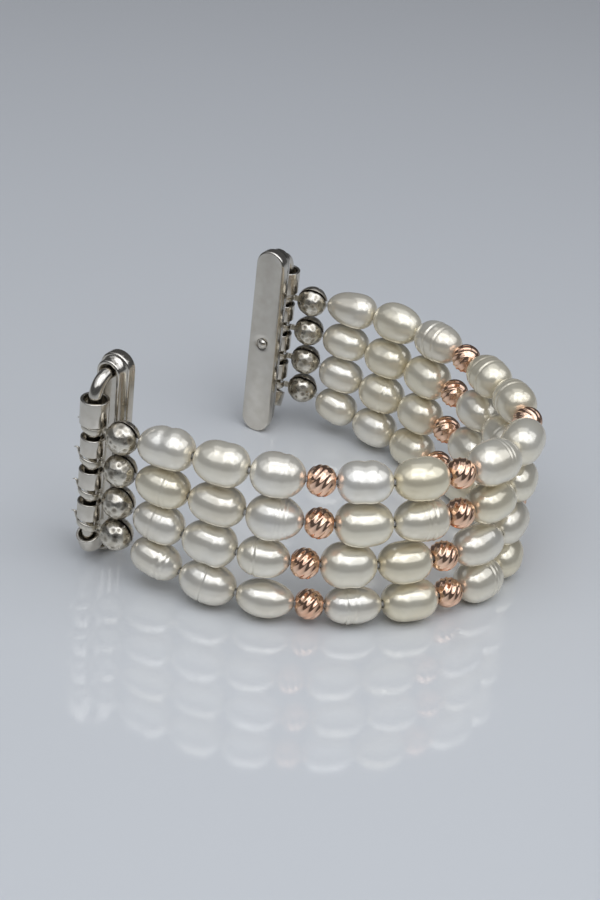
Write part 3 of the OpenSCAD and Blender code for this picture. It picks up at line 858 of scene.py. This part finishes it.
def oval(half_span, r):
    """A ring of points (y, z): two half circles joined by straight sides, whose points crowd
    towards the middle, where the ring has to meet a round hole."""
    points = []
    first = math.atan(OVAL_CROWD / half_span)
    for end in (1, -1):
        for k in range(OVAL_END_STEPS + 1):
            a = -math.pi / 2 + math.pi * k / OVAL_END_STEPS
            points.append((end * r * math.sin(a), end * (half_span + r * math.cos(a))))
        for k in range(1, OVAL_SIDE_STEPS):
            a = first + (math.pi - 2 * first) * k / OVAL_SIDE_STEPS
            points.append((end * r, end * OVAL_CROWD / math.tan(a)))
    return np.array(points)


def edge(r, depth, r_sign, depth_sign, size=EDGE):
    """(radius, depth) round one corner of the bar; the signs say where the metal is."""
    return [(r + r_sign * size * (1 - math.sin(a)), depth + depth_sign * size * (1 - math.cos(a)))
            for a in np.linspace(0, math.pi / 2, EDGE_STEPS + 1)]


def slide_bar(build, side, sign):
    """Lofts the bar from the bottom of the nub's pocket, over the back, to the trough's floor."""
    low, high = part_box(f"{side}_slide_bar")
    pin = pin_axis(side)
    flange_r = (high.y - low.y) / 2
    mid_z = (low.z + high.z) / 2
    span = (high.z - low.z) / 2 - flange_r
    back = abs((low.x if sign > 0 else high.x) - pin[0])
    front = abs((high.x if sign > 0 else low.x) - pin[0])
    step = (back + front) / 2
    face_r, floor = flange_r - FACE_INSET, front + TROUGH_DEPTH
    turn = np.arctan2(*oval(span, flange_r).T)
    rings = [(np.stack([np.sin(turn), np.cos(turn)], 1) * r * MM, back - under * MM)
             for r, under in POCKET]
    ovals = edge(flange_r, back, -1, -1)
    ovals += edge(flange_r, step, -1, 1)[::-1]
    ovals += [(face_r, step - SHOULDER)] + edge(face_r, front, -1, 1)[::-1]
    ovals += edge(TROUGH_R, front, 1, 1, TROUGH_EDGE)
    ovals += [(TROUGH_R, floor - TROUGH_CORNER), (TROUGH_R - TROUGH_CORNER, floor), (POINT_R, floor)]
    rings += [(oval(span, r), depth) for r, depth in ovals]
    points = [np.insert(ring + (pin[1], mid_z), 0, pin[0] - sign * depth, axis=1)
              for ring, depth in rings]
    build.add(np.concatenate(points), capped_faces(len(rings), len(turn)))


for side, sign in (("near", 1), ("far", -1)):
    build = Build()
    slide_bar(build, side, sign)
    build.piece(f"polished_{side}_bar", NICKEL, "nickel", f"{side} adapter", [f"{side}_slide_bar"])


# The nubs' springs, coiled at one length in the frame's spring boxes; in the real band they shorten as
# a nub is pressed in
SPRING_WIRE = 0.16 * MM
SPRING_TURNS = 3
SPRING_STEPS = 24 * SPRING_TURNS
SPRING_SIDES = 8
for side, sign in (("near", 1), ("far", -1)):
    low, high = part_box(f"{side}_nub_spring")
    mid, coil_r = (low + high) / 2, (high.y - low.y - SPRING_WIRE) / 2
    t = np.linspace(0, 1, SPRING_STEPS + 1)
    turn = 2 * np.pi * SPRING_TURNS * t
    coil = np.stack([low.x + SPRING_WIRE / 2 + (high.x - low.x - SPRING_WIRE) * t,
                     mid.y + coil_r * np.cos(turn), mid.z + coil_r * np.sin(turn)], 1)
    build = Build()
    tube_along(build, coil, SPRING_WIRE / 2, SPRING_SIDES)
    piece = build.piece(f"coiled_{side}_spring", NICKEL, "nickel", f"{side} adapter",
                        [f"{side}_nub_spring"])
    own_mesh(piece)


# Rods and nubs are the frame's own solids, in polished nickel
for name, obj in nodes.items():
    if name.endswith(("_rod", "_nub")):
        obj.data.materials.clear()
        obj.data.materials.append(NICKEL)


# The table, whose colour changes a little from its front to its back: painted light, lighter towards
# the back, where less of the lamps' light reaches
TABLE_SIZE = 4.0
TABLE_WAY = (-0.90, -0.434, 0.0)
TABLE_NEAR, TABLE_FAR = -0.10, 0.30


def table_top():
    """A pale, glossy table top."""
    h = TABLE_SIZE / 2
    mesh = bpy.data.meshes.new("table")
    mesh.from_pydata([(-h, -h, 0), (h, -h, 0), (h, h, 0), (-h, h, 0)], [], [(0, 1, 2, 3)])
    obj = bpy.data.objects.new("table", mesh)
    bpy.context.scene.collection.objects.link(obj)
    mat, tree, bsdf = shader("table", Roughness=0.07, IOR=1.85)
    place = tree.nodes.new("ShaderNodeTexCoord")
    along = tree.nodes.new("ShaderNodeVectorMath")
    along.operation = "DOT_PRODUCT"
    along.inputs[1].default_value = TABLE_WAY
    share = tree.nodes.new("ShaderNodeMapRange")
    share.inputs["From Min"].default_value = TABLE_NEAR
    share.inputs["From Max"].default_value = TABLE_FAR
    tree.links.new(place.outputs["Object"], along.inputs[0])
    tree.links.new(along.outputs["Value"], share.inputs["Value"])
    # Painted light: the colour grows lighter towards the table's back, to make up for the lamps' light
    # falling off there
    paint(tree, bsdf, ramp(tree, share.outputs["Result"], (0.0, (0.75, 0.76, 0.76)),
                           (0.3, (0.73, 0.74, 0.74)), (0.55, (0.75, 0.76, 0.765)),
                           (1.0, (0.78, 0.785, 0.79))))
    mesh.materials.append(mat)
    obj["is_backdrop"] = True


table_top()


# The lights stand round the loop and over it, and shine at its middle
DAYLIGHT = (0.88, 0.92, 1.0)
LIGHT_AIM = (0, 0, 0.01)
SOFTBOX_FAR = 0.6
SOFTBOX_POWER = 1.38
CAMERA_SIDE = 25.7
# (degrees round from the camera's side, degrees up, width, height, strength)
SOFTBOXES = ((0, 76, 0.50, 0.40, 1.0), (0, 50, 0.42, 0.26, 1.0),
             (45, 50, 0.42, 0.40, 0.9), (-45, 50, 0.42, 0.40, 0.7),
             (90, 46, 0.42, 0.36, 0.8), (-90, 46, 0.42, 0.36, 0.3))
OVERHEAD_AT = (-0.10, -0.05, 0.60)
OVERHEAD_SIZE = (0.5, 0.5)
OVERHEAD_POWER = 0.5
WORLD_COLOUR = (0.50, 0.52, 0.56, 1)
WORLD_STRENGTH = 0.16


def area_light(name, place, size, power):
    data = bpy.data.lights.new(name, "AREA")
    data.shape = "RECTANGLE"
    data.size, data.size_y = size
    data.energy = power
    data.color = DAYLIGHT
    obj = bpy.data.objects.new(name, data)
    bpy.context.scene.collection.objects.link(obj)
    obj.location = place
    obj.rotation_euler = (Vector(LIGHT_AIM) - Vector(place)).to_track_quat("-Z", "Y").to_euler()


for k, (turn, rise, wide, tall, glow) in enumerate(SOFTBOXES):
    a, e = math.radians(CAMERA_SIDE + turn), math.radians(rise)
    place = (SOFTBOX_FAR * math.cos(e) * math.cos(a), SOFTBOX_FAR * math.cos(e) * math.sin(a),
             SOFTBOX_FAR * math.sin(e))
    area_light(f"softbox_{k}", place, (wide, tall), SOFTBOX_POWER * glow * math.pi * wide * tall)
area_light("overhead", OVERHEAD_AT, OVERHEAD_SIZE, OVERHEAD_POWER)

world = bpy.data.worlds.new("room")
world.use_nodes = True
bpy.context.scene.world = world
background = world.node_tree.nodes["Background"]
background.inputs["Color"].default_value = WORLD_COLOUR
background.inputs["Strength"].default_value = WORLD_STRENGTH


# The camera, fitted to the photograph: where it stands, its right, up and back directions, and
# its focal length in the picture's pixels
CAMERA_AT = (0.206054, 0.091868, 0.145850)
CAMERA_AXES = ((-0.48423, 0.86914, 0.10054), (-0.40238, -0.32326, 0.8565),
               (0.77692, 0.37429, 0.50626))
FOCAL_PIXELS = 1872
LONG_SIDE = 900
SENSOR = 36
camera = bpy.data.objects.new("camera", bpy.data.cameras.new("camera"))
bpy.context.scene.collection.objects.link(camera)
camera.matrix_world = Matrix.Translation(CAMERA_AT) @ Matrix(CAMERA_AXES).transposed().to_4x4()
camera.data.sensor_width = SENSOR
camera.data.lens = SENSOR * FOCAL_PIXELS / LONG_SIDE
camera.data.clip_start = 0.01
bpy.context.scene.camera = camera
bpy.context.scene.view_settings.view_transform = "Standard"

low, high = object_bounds()
